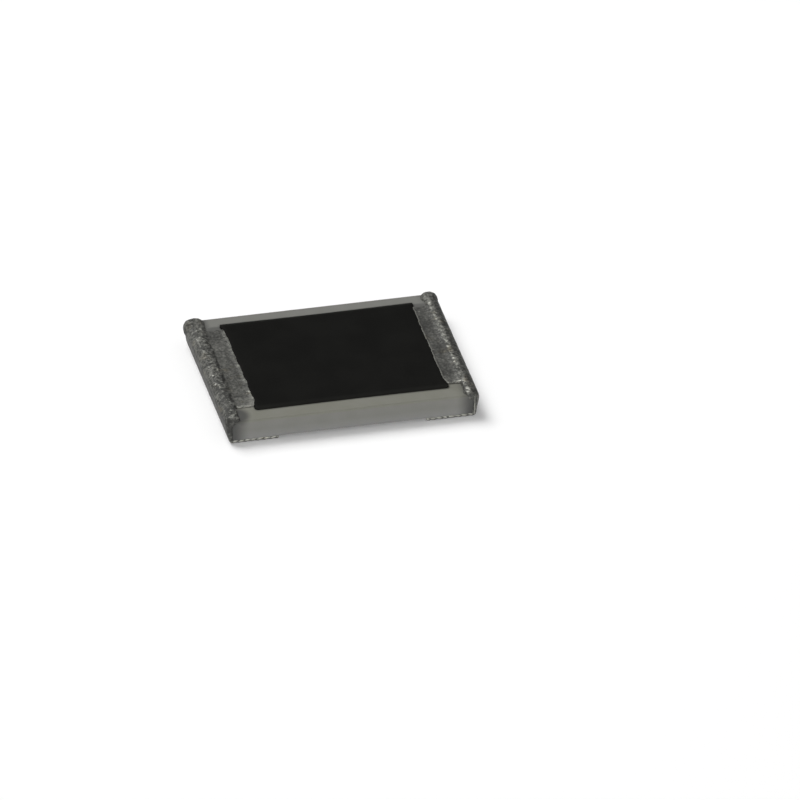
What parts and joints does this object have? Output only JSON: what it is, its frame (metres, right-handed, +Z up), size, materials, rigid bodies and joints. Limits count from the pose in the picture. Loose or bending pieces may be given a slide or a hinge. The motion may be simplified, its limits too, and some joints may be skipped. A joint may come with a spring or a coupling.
{
  "type": "chip resistor",
  "caption": "Flat surface-mount thick-film chip resistor: grey ceramic plate, black overcoat on top, and rough tin-plated ends that wrap round to solder pads underneath.",
  "frame": {"origin": "under the middle of the chip, in the plane of its two solder pads", "axes": "+X along the chip towards its right end, +Y across it, +Z up through the overcoat"},
  "size_m": [0.0044, 0.0032, 0.0005],
  "materials": {
    "ceramic": "matte fired alumina, unglazed",
    "overcoat": "matte black printed resin",
    "tin": "rough matte tin plating",
    "nickel": "plated nickel",
    "silver": "fired silver paste",
    "resistor_film": "fired metal oxide and glass print",
    "glass_coat": "fired glass print"
  },
  "bodies": {
    "root": {"ceramic_substrate": "ceramic", "resistive_film": "resistor_film", "glass_precoat": "glass_coat", "overcoat": "overcoat", "top_electrode_left": "silver", "top_electrode_right": "silver", "bottom_electrode_left": "silver", "bottom_electrode_right": "silver", "end_electrode_left": "silver", "end_electrode_right": "silver", "nickel_barrier_left": "nickel", "nickel_barrier_right": "nickel", "tin_plating_left": "tin", "tin_plating_right": "tin"}
  },
  "joints": []
}
